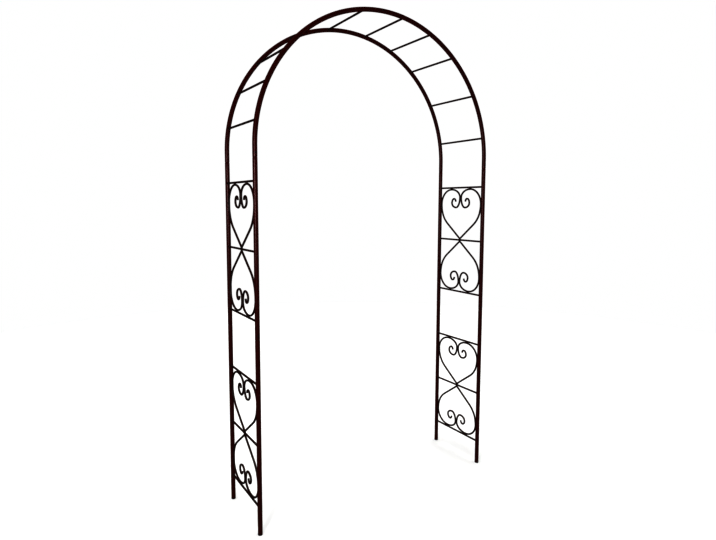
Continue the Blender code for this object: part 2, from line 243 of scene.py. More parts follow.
# %% Moulded plastic
MOULD_PEBBLE = 0.0008  # real pebbles are a tenth to a fifth of a millimetre wide, so drawn coarser

moulded_plastic, tree, metres = new_finish("moulded_black_polyethylene")
pebble = add_node(tree, "ShaderNodeTexVoronoi", {"Vector": metres, "Scale": 1 / MOULD_PEBBLE})
shade = add_node(tree, "ShaderNodeMix", {
    "Factor": pebble.outputs["Distance"], "A": linear("#151515"), "B": linear("#1e1e1e"),
}, data_type="RGBA")
relief = add_node(tree, "ShaderNodeBump", {
    "Height": pebble.outputs["Distance"], "Strength": 0.4, "Distance": 0.0001,
})
surface = add_node(tree, "ShaderNodeBsdfPrincipled", {
    "Base Color": shade.outputs["Result"], "Roughness": 0.6, "IOR": 1.51,
    "Normal": relief.outputs["Normal"],
})
add_node(tree, "ShaderNodeOutputMaterial", {"Surface": surface.outputs["BSDF"]})
print("Finish", moulded_plastic.name, "with", len(tree.nodes), "nodes")

# %% [markdown]
# ## One way to make every round piece
#
# A tube, a rod, a weld bead and a screw thread are all rings of points with faces between
# one ring and the next. Making the rings in code gives the same control as a sweep along a
# curve, and more: each point of a ring may have its own place, so a rod's end can follow the
# round of the tube that it meets. A curve with a bevel would be shorter to write, but its
# ends are always cut flat.

# %% Rings into meshes
SHARP_CORNER = math.radians(50)


def join_rings(shape, near, far):
    """Faces all round between one ring of corners and the next."""
    for i in range(len(near)):
        j = (i + 1) % len(near)
        shape.faces.new((near[i], near[j], far[j], far[i]))


def cap_ring(shape, row):
    """A fan of faces that closes the end of a skin."""
    middle = shape.verts.new(sum((corner.co for corner in row), Vector()) / len(row))
    for i in range(len(row)):
        shape.faces.new((row[i], row[(i + 1) % len(row)], middle))


def mesh_over(name, groups, closed_round=False):
    """A mesh over groups of rings. Each group is a skin of its own, capped or closed round."""
    shape = bmesh.new()
    for rings in groups:
        rows = [[shape.verts.new(point) for point in ring] for ring in rings]
        for near, far in zip(rows, rows[1:]):
            join_rings(shape, near, far)
        if closed_round:
            join_rings(shape, rows[-1], rows[0])
        else:
            cap_ring(shape, rows[0])
            cap_ring(shape, rows[-1])
    bmesh.ops.recalc_face_normals(shape, faces=shape.faces)
    mesh = bpy.data.meshes.new(name)
    shape.to_mesh(mesh)
    shape.free()
    mesh.shade_smooth()
    mesh.set_sharp_from_angle(angle=SHARP_CORNER)
    return mesh


print("Corners sharper than", round(math.degrees(SHARP_CORNER)), "degrees stay crisp")

# %% [markdown]
# ## How a piece joins the arch
#
# Nothing on the arch moves, so the frame has one body and every piece rides on it. A piece
# also gets its finish and, where it is a finer version of a solid, that solid is hidden.

# %% Pieces on the frame
def add_piece(name, mesh, finish, node=None):
    """Puts a piece on the arch: it rides on the only body and may stand for a solid."""
    piece = put_in_scene(name, mesh)
    if not mesh.materials:
        mesh.materials.append(finish)
    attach(piece, "root")
    if node:
        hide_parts(node)
    return piece


# %% [markdown]
# ## Where the tubes run
#
# The arch is two hoops, one behind the other, each made of two lower legs, two upper legs
# and two quarter arches. The sizes are the frame's own, in metres like all lengths here, and
# the place of one leg in the frame is printed to compare.

# %% Sizes of the hoops
DEPTH = 0.374  # from one hoop's middle line to the other's
HALF_SPAN = 0.690  # from the middle of the arch to a leg's middle line
SPRING_HEIGHT = 1.800  # where the quarter circles start
LEG_JOINT_HEIGHT = 0.930
ARCH_JOINT_HEIGHT = 1.750
ARCH_JOINT_DROP = SPRING_HEIGHT - ARCH_JOINT_HEIGHT
QUARTER_LENGTH = HALF_SPAN * math.pi / 2
FOOT_HEIGHT = 0.006
JOINT_GAP = 0.0003  # between a piece and the one that it is fitted to
FOOT_TOP = FOOT_HEIGHT + JOINT_GAP
SIDES = {"left": -1, "right": 1}
PLANES = {"front": -1, "rear": 1}
SIDEWAYS = Vector((1, 0, 0))
ACROSS = Vector((0, 1, 0))
UP = Vector((0, 0, 1))

leg_low, leg_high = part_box("lower_leg_rear_right")
leg_middle = (leg_low + leg_high) / 2
print("In the frame the rear right leg stands at", round(leg_middle.x, 4), round(leg_middle.y, 4))

# %% [markdown]
# ### Their middle lines
#
# A leg is straight. A quarter arch goes up straight for 50 mm and then round a quarter
# circle. Each of these lines is a function that takes a distance along the tube and gives
# the middle of the tube there, and the direction that points out of the arch. A curve object
# could hold the line too, but a function can be asked for any distance exactly.

# %% Lines of the tubes
def on_arch(angle, side=1):
    """A point of the hoop's middle line and the way out from it. Angles start at the spring line."""
    out = Vector((side * math.cos(angle), 0, math.sin(angle)))
    return Vector((0, 0, SPRING_HEIGHT)) + HALF_SPAN * out, out


def straight_line(side, bottom):
    """The middle line of a leg, as a function of the distance up it."""
    def spot(distance):
        return Vector((side * HALF_SPAN, 0, bottom + distance)), Vector((side, 0, 0))
    return spot


def quarter_line(side):
    """The middle line of a quarter arch, as a function of the distance up and round it."""
    def spot(distance):
        if distance < ARCH_JOINT_DROP:
            return straight_line(side, ARCH_JOINT_HEIGHT)(distance)
        return on_arch((distance - ARCH_JOINT_DROP) / HALF_SPAN, side)
    return spot


print("A quarter arch is", round((ARCH_JOINT_DROP + QUARTER_LENGTH) * 1000), "mm long")

# %% [markdown]
# ## The tubes
#
# These are 22 mm steel tubes with a 1.2 mm wall. One end of a tube is squeezed down in a
# press until it slides into the next tube, and that joint shows as a fine dark line with a
# soft lip round it. The squeezed end is called a spigot, and the step down to it a swage.

# %% Sizes of the tubes
TUBE_RADIUS = 0.011
TUBE_WALL = 0.0012
BORE_RADIUS = TUBE_RADIUS - TUBE_WALL
SPIGOT_LENGTH = 0.040
SPIGOT_RADIUS = BORE_RADIUS - JOINT_GAP
SWAGE_TAPER = 0.003
LIP = 0.00045  # the rounding of a tube's end, outside and inside
half_spigot = SPIGOT_LENGTH / 2
lower_body = LEG_JOINT_HEIGHT - FOOT_TOP
upper_body = ARCH_JOINT_HEIGHT - LEG_JOINT_HEIGHT
quarter_body = ARCH_JOINT_DROP + QUARTER_LENGTH
print("Bore", round(BORE_RADIUS * 2000, 1), "mm, spigot", round(SPIGOT_RADIUS * 2000, 1), "mm across")

# %% [markdown]
# ### The wall of a tube
#
# Each tube is modelled hollow. Its outside runs up the tube, steps down the swage, turns
# over the lip and comes back down the bore, all as one closed skin. So the wall is a list of
# distances and radii that leads round it once and ends where it began.

# %% Wall of a tube
STATION_SPACING = 0.020  # between the rings of a plain stretch
HOLE_FRAME = 0.0045  # rings this far either side of a hole keep the wall's shading even
SWAGE_STEPS = 6
SPIGOT_STEPS = 4
LIP_TURNS = [math.radians(angle) for angle in (0, 30, 60, 90)]


def evenly(start, end, steps):
    """Numbers from start to end in equal steps, with both ends."""
    return [start + (end - start) * i / steps for i in range(steps + 1)]


def plain_stretch(start, end, steps, holes):
    """Distances along a plain stretch, with a frame in place of those close to a hole."""
    found = evenly(start, end, steps)[1:]
    for hole in holes:
        found = [distance for distance in found if abs(distance - hole) > HOLE_FRAME]
        found += [hole - HOLE_FRAME, hole + HOLE_FRAME]
    return sorted(found)


def tube_wall(body, swaged, holes):
    """Distances and radii round a tube's wall: up its outside and back down its bore."""
    end, end_radius, plain_end = body, TUBE_RADIUS, body - LIP
    if swaged:
        end, end_radius = body + SPIGOT_LENGTH, SPIGOT_RADIUS
        plain_end = body - JOINT_GAP - SWAGE_TAPER
    steps = math.ceil(body / STATION_SPACING)
    outer_holes = [hole for hole in holes if hole < body]
    outside = [(distance, TUBE_RADIUS) for distance in plain_stretch(LIP, plain_end, steps, outer_holes)]
    if swaged:
        for share in evenly(0, 1, SWAGE_STEPS)[1:]:
            fall = share * share * (3 - 2 * share)
            radius = TUBE_RADIUS + (SPIGOT_RADIUS - TUBE_RADIUS) * fall
            outside.append((plain_end + SWAGE_TAPER * share, radius))
        outside += [(distance, SPIGOT_RADIUS) for distance in evenly(body, end - LIP, SPIGOT_STEPS)]
    bore = [(distance, radius - TUBE_WALL) for distance, radius in reversed(outside)]
    end_bore = end_radius - TUBE_WALL

    mouth, outer_end, inner_end, inner_mouth = [], [], [], []
    for turn in LIP_TURNS:
        across, along = LIP * math.sin(turn), LIP * math.cos(turn)
        mouth.append((LIP - along, TUBE_RADIUS - LIP + across))
        outer_end.append((end - LIP + across, end_radius - LIP + along))
        inner_end.append((end - LIP + along, end_bore + LIP - across))
        inner_mouth.append((LIP - across, BORE_RADIUS + LIP - along))
    return mouth + outside + outer_end[1:] + inner_end + bore[1:] + inner_mouth


print("A lower leg's wall has", len(tube_wall(lower_body, True, [])), "rings")

# %% [markdown]
# ### The screw holes
#
# A hole could be woven into the rings, but a Boolean modifier makes it the way a drill does:
# a round cutter is taken out of the finished wall. Such a cut can leave two points where one
# is meant, with a sliver of a face between them, so points that lie a few thousandths of a
# millimetre apart are merged afterwards.

# %% Cutting
MERGE_WITHIN = 0.000005


def carved(mesh, cutters):
    """A mesh with the cutters' shapes taken out of it."""
    holder = put_in_scene("carving", mesh)
    helpers = [holder]
    for cutter in cutters:
        helper = put_in_scene(cutter.name, cutter)
        cut = holder.modifiers.new("cut", "BOOLEAN")
        cut.operation = "DIFFERENCE"
        cut.solver = "EXACT"
        cut.object = helper
        helpers.append(helper)
    bpy.context.view_layer.update()
    graph = bpy.context.evaluated_depsgraph_get()
    found = bpy.data.meshes.new_from_object(holder.evaluated_get(graph))
    for helper in helpers:
        bpy.data.objects.remove(helper)
    shape = bmesh.new()
    shape.from_mesh(found)
    bmesh.ops.remove_doubles(shape, verts=shape.verts, dist=MERGE_WITHIN)
    shape.to_mesh(found)
    shape.free()
    found.set_sharp_from_angle(angle=SHARP_CORNER)
    return found


print("After a cut, points within", MERGE_WITHIN * 1000, "mm of each other are merged")

# %% Drill bits
SCREW_HOLE_RADIUS = 0.0023
BIT_SIDES = 24
BIT_TURN = 0.37  # share of a side, so that no corner of a hole falls on an edge of the tube
BIT_REACHES = (TUBE_RADIUS / 3, TUBE_RADIUS * 2)  # from inside the bore to well outside


def ring_round(middle, radius, first, second, sides, start=0):
    """Points on a circle round a middle, in the plane of two directions."""
    found = []
    for i in range(sides):
        turn = math.tau * (i + start) / sides
        found.append(middle + radius * (math.cos(turn) * first + math.sin(turn) * second))
    return found


def drill_bits(spots, plane):
    """Cutters for screw holes in the wall that faces away from the other hoop."""
    found = []
    for spot in spots:
        rings = []
        for reach in BIT_REACHES:
            end = spot + plane * reach * ACROSS
            rings.append(ring_round(end, SCREW_HOLE_RADIUS, SIDEWAYS, UP, BIT_SIDES, BIT_TURN))
        found.append(mesh_over("drill_bit", [rings]))
    return found


print("The screw holes are", round(SCREW_HOLE_RADIUS * 2000, 1), "mm wide")

# %% [markdown]
# ### All twelve tubes
#
# Each joint has one screw, through the wall of the outer tube and of the spigot inside it. So
# a tube has a hole half a spigot up from its mouth, and one half way along its own spigot.
# At the crown only the right-hand quarter arch has a spigot, which goes into the left one.

# %% The tubes
TUBE_SIDES = 32


def make_tube(node, line, body, swaged, plane, holes):
    """One tube of a hoop, in place of its solid."""
    away = ACROSS * plane * DEPTH / 2
    rings = []
    for distance, radius in tube_wall(body, swaged, holes):
        middle, out = line(distance)
        rings.append(ring_round(middle + away, radius, out, ACROSS, TUBE_SIDES))
    mesh = mesh_over(node, [rings], closed_round=True)
    spots = [line(distance)[0] + away for distance in holes]
    mesh = carved(mesh, drill_bits(spots, plane))
    return add_piece(f"tube_{node}", mesh, tube_coat, node)


tubes = []
for plane_name, plane in PLANES.items():
    for side_name, side in SIDES.items():
        spigot_at_crown = side > 0
        crown_hole = quarter_body + half_spigot if spigot_at_crown else quarter_body - half_spigot
        runs = {
            "lower_leg": (straight_line(side, FOOT_TOP), lower_body, True, [lower_body + half_spigot]),
            "upper_leg": (straight_line(side, LEG_JOINT_HEIGHT), upper_body, True,
                          [half_spigot, upper_body + half_spigot]),
            "arch": (quarter_line(side), quarter_body, spigot_at_crown, [half_spigot, crown_hole]),
        }
        for kind, (line, body, swaged, holes) in runs.items():
            tubes.append(make_tube(f"{kind}_{plane_name}_{side_name}", line, body, swaged, plane, holes))
print(len(tubes), "tubes with", sum(len(tube.data.polygons) for tube in tubes), "faces")

# %% [markdown]
# ## The cross rods and their welds
#
# Ten millimetre rods join the two hoops: three rails in each leg panel and ten rungs round
# the top. Each end is welded to its tube. On the real thing a bead of weld runs round the
# rod and the powder coat softens it, so the rod seems to grow out of the tube. Here the bead
# is part of the rod's own skin: the last rings open out like a skirt that follows the round
# of the tube, and its edge lies just inside the tube's wall. The welder's hand shows as a
# slight ripple that is different on every bead, from a seeded random generator.

# %% Sizes of a rod and its weld
ROD_RADIUS = 0.005
ROD_SIDES = 40
WELD_LEG = 0.0024  # how far a bead reaches along the rod, and out over the tube
WELD_SINK = 0.0003  # how far its edge lies inside the tube
WELD_RIPPLES = 10
RIPPLE_SHARE = 0.07  # of the leg
LEAN_SHARE = 0.14  # of the leg: a bead is longer on one side than on the other
SHAFT_RISES = (2.2, 1.35)  # plain rings on the rod above the bead, in weld legs
SKIRT_STEPS = 6
CORE_SHARES = (0.5, 0.05)  # of the rod's radius: rings that close its end inside the tube
welder = random.Random(7)


def weld_skirt():
    """Spread and rise of a bead's rings, in weld legs, from the rod to just inside the tube."""
    found = []
    for t in evenly(0, 1, SKIRT_STEPS)[:-1]:
        turn = math.radians(90) * t
        # Half way between a straight slope and a quarter round, so the bead is a little full.
        found.append((0.5 * t + 0.5 * math.sin(turn), 0.5 * (1 - t) + 0.5 * math.cos(turn)))
    return found + [(1.0, -WELD_SINK / WELD_LEG)]


print("A bead has", len(weld_skirt()), "rings of", ROD_SIDES, "points")

# %% End of a rod
def rod_end(middle, out, plane):
    """Rings from a rod's shaft to the heart of its joint with the tube of one hoop."""
    along = out.cross(ACROSS)
    phase = welder.uniform(0, math.tau)
    lean = welder.uniform(0, math.tau)
    turns = [math.tau * i / ROD_SIDES for i in range(ROD_SIDES)]
    legs = []
    for turn in turns:
        ripple = RIPPLE_SHARE * math.cos(WELD_RIPPLES * turn + phase)
        uneven = LEAN_SHARE * math.cos(turn - lean)
        legs.append(WELD_LEG * (1 + ripple + uneven))

    def over_tube(turn, radius, rise):
        """A point round the rod, this far above the tube's surface, or inside it if below zero."""
        sideways = radius * math.cos(turn)
        surface = DEPTH / 2 - math.sqrt(TUBE_RADIUS ** 2 - sideways ** 2)
        y = plane * (surface - rise)
        return middle + sideways * out + radius * math.sin(turn) * along + y * ACROSS

    rings = []
    for spread, rise in [(0.0, rise) for rise in SHAFT_RISES] + weld_skirt():
        ring = []
        for turn, leg in zip(turns, legs):
            ring.append(over_tube(turn, ROD_RADIUS + leg * spread, leg * rise))
        rings.append(ring)
    for share in CORE_SHARES:
        rings.append([over_tube(turn, ROD_RADIUS * share, -WELD_SINK) for turn in turns])
    return rings


print("A bead reaches", WELD_LEG * 1000, "mm from the rod, more or less by its ripples")

# %% [markdown]
# ### Rails and rungs
#
# The rails are spaced as the hearts between them need. The rungs of a quarter arch start 10
# degrees from its first end and then go on in two steps of 20 degrees and two of about 15,
# and the left quarter repeats the right one, as two equal quarters would.

# %% Rails and rungs
PANELS = {
    "lower": {"bottom": 0.132, "middle": 0.425, "top": 0.718},
    "upper": {"bottom": 1.014, "middle": 1.330, "top": 1.646},
}
RUNG_ANGLES = (10.0, 30.0, 50.0, 65.25, 80.5)
QUARTER_STARTS = {"right": 0, "left": 90}


def make_rod(node, middle, out):
    """A cross rod with a weld bead at both ends, in place of its solid."""
    rings = list(reversed(rod_end(middle, out, -1))) + rod_end(middle, out, 1)
    return add_piece(f"rod_{node}", mesh_over(node, [rings]), rod_coat, node)


rods = []
for side_name, side in SIDES.items():
    for panel, rails in PANELS.items():
        for rail, height in rails.items():
            middle, out = straight_line(side, height)(0)
            rods.append(make_rod(f"rail_{panel}_{side_name}_{rail}", middle, out))
for side_name, start in QUARTER_STARTS.items():
    for number, angle in enumerate(RUNG_ANGLES, 1):
        middle, out = on_arch(math.radians(start + angle))
        rods.append(make_rod(f"rung_{side_name}_{number}", middle, out))
print(len(rods), "rods with", sum(len(rod.data.polygons) for rod in rods), "faces")

# %% [markdown]
# ## The heart scrolls
#
# Each heart is one rod, bent to a point in the middle and rolled in at both ends on a scroll
# former. Half a heart is a small round bend, a straight, a bend that turns upright at the
# widest place, and then the curl. The curl runs level or upright in turn at its outermost
# places, and between two such places a quarter ellipse fits with no kink. Six of them,
# smaller and smaller, make it. The other half of the heart mirrors this one.

# %% Sizes of a heart
SCROLL_RADIUS = 0.005
SCROLL_TO_ROD = SCROLL_RADIUS + ROD_RADIUS + JOINT_GAP
HEART_HALF_WIDTH = DEPTH / 2 - TUBE_RADIUS - JOINT_GAP - SCROLL_RADIUS
TIP_BEND = 0.010
LOBE_GAP = 0.0006
# Places on the heart: shares of its half width, and rises from the rail at its tip or drops
# from the rail at its crests, as shares of the way between those rails
STRAIGHT_SHARE = 0.66
STRAIGHT_RISE = 0.304
WIDEST_DROP = 0.312
CREST_SHARE = 0.47
MEETING_DROP = 0.189
CURL = ((0.228, 0.378), (0.445, 0.289), (0.334, 0.210), (0.250, 0.262))
print("A heart is", round(2000 * (HEART_HALF_WIDTH + SCROLL_RADIUS), 1), "mm wide over its rod")

# %% Line of half a heart
TIP_STEPS = 6
STRAIGHT_STATIONS = (0.33, 0.67, 1.0)
KNEE_STEPS = 14
CURL_STEPS = (16, 14, 12, 12, 10, 8)


def quarter_ellipse(start, end, leaves_upright, steps):
    """Points (y, z) of a quarter ellipse that leaves its start either upright or level."""
    found = []
    for share in evenly(0, 1, steps)[1:]:
        turn = math.radians(90) * share
        rising, settling = math.sin(turn), 1 - math.cos(turn)
        share_y, share_z = (settling, rising) if leaves_upright else (rising, settling)
        found.append((start[0] + (end[0] - start[0]) * share_y, start[1] + (end[1] - start[1]) * share_z))
    return found


def half_heart(half_panel):
    """Points (y, z) of half a heart's middle line, from its tip to the end of its curl."""
    straight_y, straight_z = STRAIGHT_SHARE * HEART_HALF_WIDTH, STRAIGHT_RISE * half_panel
    rise = straight_z - SCROLL_TO_ROD - TIP_BEND
    slope = math.atan2(rise, straight_y) + math.asin(TIP_BEND / math.hypot(straight_y, rise))
    found = []
    for turn in evenly(0, slope, TIP_STEPS):
        found.append((TIP_BEND * math.sin(turn), SCROLL_TO_ROD + TIP_BEND - TIP_BEND * math.cos(turn)))
    bend_y, bend_z = found[-1]
    for share in STRAIGHT_STATIONS:
        found.append((bend_y + (straight_y - bend_y) * share, bend_z + (straight_z - bend_z) * share))

    knee_z = straight_z + (HEART_HALF_WIDTH - straight_y) * math.tan(slope)
    widest_z = half_panel * (1 - WIDEST_DROP)
    for t in evenly(0, 1, KNEE_STEPS)[1:]:
        first, second, third = (1 - t) ** 2, 2 * t * (1 - t), t ** 2
        y = first * straight_y + second * HEART_HALF_WIDTH + third * HEART_HALF_WIDTH
        found.append((y, first * straight_z + second * knee_z + third * widest_z))

    corners = [(CREST_SHARE * HEART_HALF_WIDTH, half_panel - SCROLL_TO_ROD)]
    corners.append((SCROLL_RADIUS + LOBE_GAP / 2, half_panel * (1 - MEETING_DROP)))
    corners += [(share * HEART_HALF_WIDTH, half_panel * (1 - drop)) for share, drop in CURL]
    leaves_upright = True
    for corner, steps in zip(corners, CURL_STEPS):
        found += quarter_ellipse(found[-1], corner, leaves_upright, steps)
        leaves_upright = not leaves_upright
    return found


upper_half = half_heart(PANELS["upper"]["top"] - PANELS["upper"]["middle"])
half_length = sum(math.dist(near, far) for near, far in zip(upper_half, upper_half[1:]))
print("An upper heart takes", round(2 * half_length, 2), "m of rod")

# %% [markdown]
# ### The skin of a heart
#
# Rings stand square to the line at each of its points. At the curls' ends the rod was sheared
# off and tumbled, so its edge is rounded: three more rings get smaller as they go past the
# end. The line lies in one plane, so no ring ever twists against the next.

# %% Skin of a heart
SCROLL_SIDES = 24
END_ROUNDING = 0.0012
END_TURNS = [math.radians(angle) for angle in (30, 60, 85)]


def heart_mesh(node, side, middle_height, half_panel, flip):
    """A heart's skin. The upside down heart of a panel is the same one, flipped."""
    half = half_heart(half_panel)
    line = [(-y, z) for y, z in reversed(half[1:])] + half
    points = [Vector((side * HALF_SPAN, y, middle_height + flip * z)) for y, z in line]
    stations = []
    for i, point in enumerate(points):
        before, after = points[max(i - 1, 0)], points[min(i + 1, len(points) - 1)]
        stations.append((point, (after - before).normalized(), SCROLL_RADIUS))
    for outward in (-1, 1):
        point, heading, radius = stations[0] if outward < 0 else stations[-1]
        rounded = []
        for turn in END_TURNS:
            beyond = point + outward * heading * END_ROUNDING * math.sin(turn)
            rounded.append((beyond, heading, radius - END_ROUNDING * (1 - math.cos(turn))))
        stations = rounded[::-1] + stations if outward < 0 else stations + rounded
    sideways = Vector((side, 0, 0))
    skin = []
    for point, heading, radius in stations:
        skin.append(ring_round(point, radius, sideways, heading.cross(sideways), SCROLL_SIDES))
    return mesh_over(node, [skin])


heart_seats = []
for panel, rails in PANELS.items():
    for side_name, side in SIDES.items():
        for place, flip in (("top", 1), ("bottom", -1)):
            half_panel = rails["top"] - rails["middle"]
            heart_seats.append((f"{panel}_{side_name}_{place}", side, rails["middle"], half_panel, flip))
hearts = []
for seat, side, middle_height, half_panel, flip in heart_seats:
    node = f"heart_{seat}"
    mesh = heart_mesh(node, side, middle_height, half_panel, flip)
    hearts.append(add_piece(f"scroll_{node}", mesh, rod_coat, node))
print(len(hearts), "hearts with", sum(len(heart.data.polygons) for heart in hearts), "faces")

# %% [markdown]
# ## The scrolls' welds
#
# A heart touches its neighbours in six places: its point on the middle rail, its two sides
# on the tubes, its two crests on the outer rail, and its lobes on each other. At each of
# them the welder laid a short bead into the groove between the two round bars, on both
# faces. A bead is a lump about 13 mm long with ripples across it where the pool of metal
# froze step by step. It is made of rings too, but along the groove and flattened.

# %% One weld bead
BEAD_LENGTH = 0.013
BEAD_HALF_WIDTH = 0.0026
BEAD_HALF_HEIGHT = 0.0016
BEAD_OUT = 0.0034  # how far the bead's middle lies from the middle of the bars
BEAD_DRIFT = 0.001  # how far along the groove the welder may miss its middle
LENGTH_VARIES = 0.15
THICKNESS_VARIES = 0.1
RIPPLE_SPACING = 0.0019
RIPPLE_HEIGHT = 0.09  # share of the bead's thickness
BEAD_BLUNTNESS = 0.8  # below 1, a bead stays thicker towards its ends than an ellipse
BEAD_ENDS = 0.985  # the last rings stand just short of the ends, which caps close
BEAD_STEPS = 22
BEAD_SIDES = 14


def by_hand(varies):
    """A factor near 1, as a welder's hand varies."""
    return welder.uniform(1 - varies, 1 + varies)


def bead(contact, along, outward):
    """Rings of one weld bead that lies in a groove, with its ripples."""
    length = BEAD_LENGTH * by_hand(LENGTH_VARIES)
    width = BEAD_HALF_WIDTH * by_hand(THICKNESS_VARIES)
    height = BEAD_HALF_HEIGHT * by_hand(THICKNESS_VARIES)
    phase = welder.uniform(0, math.tau)
    drift = welder.uniform(-BEAD_DRIFT, BEAD_DRIFT)
    across = along.cross(outward)
    rings = []
    for t in evenly(-BEAD_ENDS, BEAD_ENDS, BEAD_STEPS):
        swell = math.sqrt(1 - t * t) ** BEAD_BLUNTNESS
        ripple = 1 + RIPPLE_HEIGHT * math.cos(math.tau * t * length / 2 / RIPPLE_SPACING + phase)
        middle = contact + along * (t * length / 2 + drift) + outward * BEAD_OUT
        ring = []
        for i in range(BEAD_SIDES):
            turn = math.tau * i / BEAD_SIDES
            sideways = across * width * swell * ripple * math.cos(turn)
            ring.append(middle + sideways + outward * height * swell * ripple * math.sin(turn))
        rings.append(ring)
    return rings


print("A bead has about", round(BEAD_LENGTH / RIPPLE_SPACING), "ripples")

# %% Beads at every touch
def contacts(half_panel):
    """Where a heart touches its neighbours (y, z), and the direction of the groove there."""
    crest = CREST_SHARE * HEART_HALF_WIDTH
    flank = HEART_HALF_WIDTH + SCROLL_RADIUS
    widest = half_panel * (1 - WIDEST_DROP)
    return (
        (0, ROD_RADIUS, ACROSS),
        (-crest, half_panel - ROD_RADIUS, ACROSS),
        (crest, half_panel - ROD_RADIUS, ACROSS),
        (-flank, widest, UP),
        (flank, widest, UP),
        (0, half_panel * (1 - MEETING_DROP), UP),
    )


beads = []
for seat, side, middle_height, half_panel, flip in heart_seats:
    groups = []
    for y, z, along in contacts(half_panel):
        contact = Vector((side * HALF_SPAN, y, middle_height + flip * z))
        groups += [bead(contact, along, face * SIDEWAYS) for face in (-1, 1)]
    name = f"welds_{seat}"
    beads.append(add_piece(name, mesh_over(name, groups), rod_coat))
print(len(beads), "sets of beads with", sum(len(each.data.polygons) for each in beads), "faces")

# %% [markdown]
# ## The joint screws
#
# A self-tapping pan head screw holds each joint. Its head is a low dome with a cross recess
# for the driver, and its thread is a ridge that winds round the shank. The thread is again
# rings, but each point's radius depends on how far round and how far down it is, and that is
# all a helix needs.

# %% Sizes of a screw
SCREW_SIDES = 32
HEAD_RADIUS = 0.004
HEAD_HEIGHT = 0.0024
TOP_SHARES = (0.1, 0.35, 0.6, 0.8)  # of the head's radius: rings on its top
TOP_FALL = 0.0004  # how far the top would fall out at the head's edge
SHOULDER_SHARE = 0.28  # of the head's radius, rounded down to its side
SHOULDER_DROP = 0.001  # the rounding is this much lower than the whole head
SHOULDER_START = math.radians(25)
SHOULDER_STEPS = 5
SIDE_HEIGHT = 0.0005
UNDER_BEVEL = 0.0002
SHANK_RADIUS = 0.002
SCREW_LENGTH = 0.009
THREAD_PITCH = 0.0014
THREAD_DEPTH = 0.00035
THREAD_START = 0.0006
THREAD_STEPS = 60
POINT_LENGTH = 0.0025  # over which the thread tapers
POINT_SHARE = 0.15  # of the radius that is left at the very point
print("The thread makes", round((SCREW_LENGTH - THREAD_START) / THREAD_PITCH, 1), "turns")

# %% Head and thread of a screw
def turned_ring(radius, height, sides):
    """A ring of a turned shape, round the Z axis."""
    turns = [math.tau * i / sides for i in range(sides)]
    return [Vector((radius * math.cos(turn), radius * math.sin(turn), height)) for turn in turns]


def head_rings():
    """A domed head from the middle of its top to the shank. Its underside is at height 0."""
    profile = [(HEAD_RADIUS * share, HEAD_HEIGHT - TOP_FALL * share ** 2) for share in TOP_SHARES]
    for turn in evenly(SHOULDER_START, math.radians(90), SHOULDER_STEPS):
        radius = HEAD_RADIUS * (1 - SHOULDER_SHARE + SHOULDER_SHARE * math.sin(turn))
        profile.append((radius, SIDE_HEIGHT + (HEAD_HEIGHT - SHOULDER_DROP) * math.cos(turn)))
    profile += [(HEAD_RADIUS, UNDER_BEVEL), (HEAD_RADIUS - UNDER_BEVEL, 0), (SHANK_RADIUS, 0)]
    return [turned_ring(radius, height, SCREW_SIDES) for radius, height in profile]


def thread_rings():
    """The threaded shank, from just under the head down to the point."""
    rings = []
    for height in evenly(-THREAD_START, -SCREW_LENGTH, THREAD_STEPS):
        taper = min(1.0, (height + SCREW_LENGTH) / POINT_LENGTH + POINT_SHARE)
        ring = []
        for i in range(SCREW_SIDES):
            turns_down = height / THREAD_PITCH + i / SCREW_SIDES
            ridge = abs((turns_down % 1) * 2 - 1)
            radius = (SHANK_RADIUS - THREAD_DEPTH * (1 - ridge)) * taper
            turn = math.tau * i / SCREW_SIDES
            ring.append(Vector((radius * math.cos(turn), radius * math.sin(turn), height)))
        rings.append(ring)
    return rings


screw_rings = head_rings() + thread_rings()
print("A screw has", len(screw_rings), "rings")

# %% [markdown]
# ### The cross recess
#
# The recess is cut out of the head by the shape of the driver that fits it: a cross that gets
# smaller as it goes down. Its corners are set half a side round from those of the head, so
# that no corner of the one falls on an edge of the other.

# %% Cross recess
RECESS_REACH = 0.0023
RECESS_HALF_WIDTH = 0.00055
RECESS_DEPTH = 0.0013
# The driver's size as a share of the recess's, and how far above the head's top
DRIVER_LEVELS = ((1.15, 0.001), (1.0, 0.0), (0.55, -RECESS_DEPTH))


def driver_tip():
    """The tapered cross at the end of a driver."""
    reach, width = RECESS_REACH, RECESS_HALF_WIDTH
    outline = []
    for quarter in range(4):
        heading = Matrix.Rotation(math.radians(90) * quarter + math.pi / SCREW_SIDES, 2)
        corners = ((width, -width), (reach, -width), (reach, width))
        outline += [heading @ Vector(corner) for corner in corners]
    rings = []
    for size, rise in DRIVER_LEVELS:
        rings.append([Vector((x * size, y * size, HEAD_HEIGHT + rise)) for x, y in outline])
    return mesh_over("driver_tip", [rings])


screw = carved(mesh_over("joint_screw", [screw_rings]), [driver_tip()])
print("A screw has", len(screw.polygons), "faces")

# %% [markdown]
# ### Ten of them, in their joints
#
# All ten screws share one mesh. Each is turned to point into its tube, and round its own
# axis by as much as chance would leave it when it is driven home.

# %% Screws in their joints
leg_screw_height = LEG_JOINT_HEIGHT + half_spigot
arch_screw_height = ARCH_JOINT_HEIGHT + half_spigot
spigot_angle = SPIGOT_LENGTH / HALF_SPAN
apex_spot = (on_arch(math.radians(90))[0] + on_arch(math.radians(90) + spigot_angle)[0]) / 2

